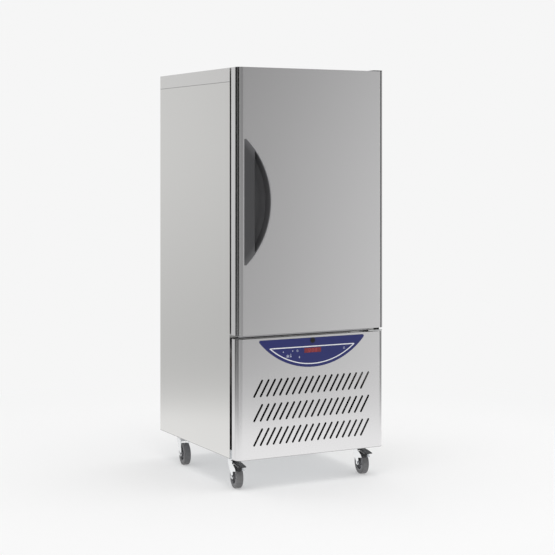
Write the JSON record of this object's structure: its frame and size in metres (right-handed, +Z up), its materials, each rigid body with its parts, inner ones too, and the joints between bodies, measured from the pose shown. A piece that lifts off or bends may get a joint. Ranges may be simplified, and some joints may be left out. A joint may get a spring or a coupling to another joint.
{
  "type": "blast chiller",
  "caption": "Upright reach-in blast chiller: one hinged insulated door with a recessed handle, slotted lower panel with half-moon fascia, swivel castors, shelves and refrigeration unit inside.",
  "frame": {"origin": "on the floor, in the middle of the plan", "axes": "+X to the viewer's right, +Y from the door to the rear, +Z up"},
  "size_m": [0.75, 0.855, 1.8605],
  "materials": {
    "stainless": "vertically brushed stainless sheet",
    "chamber_steel": "satin stainless sheet",
    "galvanised": "galvanised sheet",
    "foam": "closed-cell insulation foam",
    "grey_plastic": "moulded grey plastic",
    "handle_plastic": "textured dark grey moulding",
    "fascia_blue": "dark blue membrane",
    "display": "tinted red window",
    "gasket": "soft magnetic gasket",
    "black_plastic": "black moulding",
    "nylon": "natural nylon",
    "hinge_steel": "dark coated steel",
    "lock_black": "black coated zinc",
    "zinc": "bright zinc plate",
    "tyre_grey": "non-marking grey rubber",
    "hub_plastic": "moulded wheel centre",
    "pedal_black": "black coated pedal",
    "compressor_black": "black enamel",
    "fin_aluminium": "aluminium fins",
    "copper": "copper tube",
    "wire_chrome": "bright wire",
    "machine_grey": "grey enamel"
  },
  "bodies": {
    "cabinet": {"side_panel_left": "stainless", "side_panel_right": "stainless", "top_cap": "stainless", "rear_panel": "galvanised", "rear_grille": "galvanised", "base_tray": "galvanised", "machine_deck": "galvanised", "breaker_strips": "grey_plastic", "insulation": "foam", "chamber_liner": "chamber_steel", "front_service_panel": "stainless", "control_fascia": "fascia_blue", "display_window": "display", "controller_box": "black_plastic", "lock_housing": "lock_black", "hinge_bracket_top": "hinge_steel", "hinge_bracket_bottom": "hinge_steel", "hinge_cam_bush": "black_plastic", "hinge_screws": "zinc", "castor_plates": "zinc", "castor_bolts": "zinc", "evaporator_fan_plate": "chamber_steel", "fan_motors": "machine_grey", "evaporator_coil": "fin_aluminium", "drip_tray": "chamber_steel", "shelf_racks": "chamber_steel", "wire_shelves": "wire_chrome", "condenser_coil": "fin_aluminium", "condenser_shroud": "galvanised", "compressor": "compressor_black", "liquid_receiver": "compressor_black", "filter_drier": "copper", "refrigerant_pipes": "copper", "electrical_box": "machine_grey", "cable_gland": "black_plastic"},
    "door": {"door_outer_skin": "stainless", "door_foam": "foam", "door_inner_liner": "chamber_steel", "door_gasket": "gasket", "handle_insert": "handle_plastic", "door_bushes": "nylon"},
    "lock": {"lock_barrel": "zinc"},
    "fork_fl": {"castor_fork_fl": "zinc"},
    "wheel_fl": {"castor_hub_fl": "hub_plastic", "castor_tyre_fl": "tyre_grey"},
    "pedal_fl": {"brake_pedal_fl": "pedal_black"},
    "fork_fr": {"castor_fork_fr": "zinc"},
    "wheel_fr": {"castor_hub_fr": "hub_plastic", "castor_tyre_fr": "tyre_grey"},
    "pedal_fr": {"brake_pedal_fr": "pedal_black"},
    "fork_rl": {"castor_fork_rl": "zinc"},
    "wheel_rl": {"castor_hub_rl": "hub_plastic", "castor_tyre_rl": "tyre_grey"},
    "fork_rr": {"castor_fork_rr": "zinc"},
    "wheel_rr": {"castor_hub_rr": "hub_plastic", "castor_tyre_rr": "tyre_grey"},
    "condenser_fan_rotor": {"condenser_fan": "black_plastic"},
    "evaporator_fan_lower_rotor": {"evaporator_fan_lower": "black_plastic"},
    "evaporator_fan_upper_rotor": {"evaporator_fan_upper": "black_plastic"}
  },
  "joints": [
    {"name": "door_hinge", "type": "hinge", "parent": "cabinet", "child": "door", "pos_m": [0.35, -0.3975, 1.265], "axis": [0, 0, 1], "range_deg": [0, 110]},
    {"name": "lock_turn", "type": "hinge", "parent": "cabinet", "child": "lock", "pos_m": [0, -0.4075, 0.643], "axis": [0, -1, 0], "range_deg": [0, 90]},
    {"name": "swivel_fl", "type": "hinge", "parent": "cabinet", "child": "fork_fl", "pos_m": [-0.331, -0.2995, 0.119], "axis": [0, 0, 1], "continuous": true},
    {"name": "wheel_fl", "type": "hinge", "parent": "fork_fl", "child": "wheel_fl", "pos_m": [-0.33657, -0.33911, 0.051], "axis": [0.9903, -0.1392, 0], "continuous": true},
    {"name": "brake_fl", "type": "hinge", "parent": "fork_fl", "child": "pedal_fl", "pos_m": [-0.33518, -0.32921, 0.112], "axis": [0.9903, -0.1392, 0], "range_deg": [0, 12]},
    {"name": "swivel_fr", "type": "hinge", "parent": "cabinet", "child": "fork_fr", "pos_m": [0.313, -0.2995, 0.119], "axis": [0, 0, 1], "continuous": true},
    {"name": "wheel_fr", "type": "hinge", "parent": "fork_fr", "child": "wheel_fr", "pos_m": [0.30743, -0.33911, 0.051], "axis": [0.9903, -0.1392, 0], "continuous": true},
    {"name": "brake_fr", "type": "hinge", "parent": "fork_fr", "child": "pedal_fr", "pos_m": [0.30883, -0.32921, 0.112], "axis": [0.9903, -0.1392, 0], "range_deg": [0, 12]},
    {"name": "swivel_rl", "type": "hinge", "parent": "cabinet", "child": "fork_rl", "pos_m": [-0.331, 0.2595, 0.119], "axis": [0, 0, 1], "continuous": true},
    {"name": "wheel_rl", "type": "hinge", "parent": "fork_rl", "child": "wheel_rl", "pos_m": [-0.33657, 0.21989, 0.051], "axis": [0.9903, -0.1392, 0], "continuous": true},
    {"name": "swivel_rr", "type": "hinge", "parent": "cabinet", "child": "fork_rr", "pos_m": [0.313, 0.2595, 0.119], "axis": [0, 0, 1], "continuous": true},
    {"name": "wheel_rr", "type": "hinge", "parent": "fork_rr", "child": "wheel_rr", "pos_m": [0.30743, 0.21989, 0.051], "axis": [0.9903, -0.1392, 0], "continuous": true},
    {"name": "condenser_fan_spin", "type": "hinge", "parent": "cabinet", "child": "condenser_fan_rotor", "pos_m": [0, -0.2095, 0.34], "axis": [0, 1, 0], "continuous": true},
    {"name": "evaporator_fan_lower_spin", "type": "hinge", "parent": "cabinet", "child": "evaporator_fan_lower_rotor", "pos_m": [0, 0.1935, 1.023], "axis": [0, 1, 0], "continuous": true},
    {"name": "evaporator_fan_upper_spin", "type": "hinge", "parent": "cabinet", "child": "evaporator_fan_upper_rotor", "pos_m": [0, 0.1935, 1.483], "axis": [0, 1, 0], "continuous": true}
  ]
}
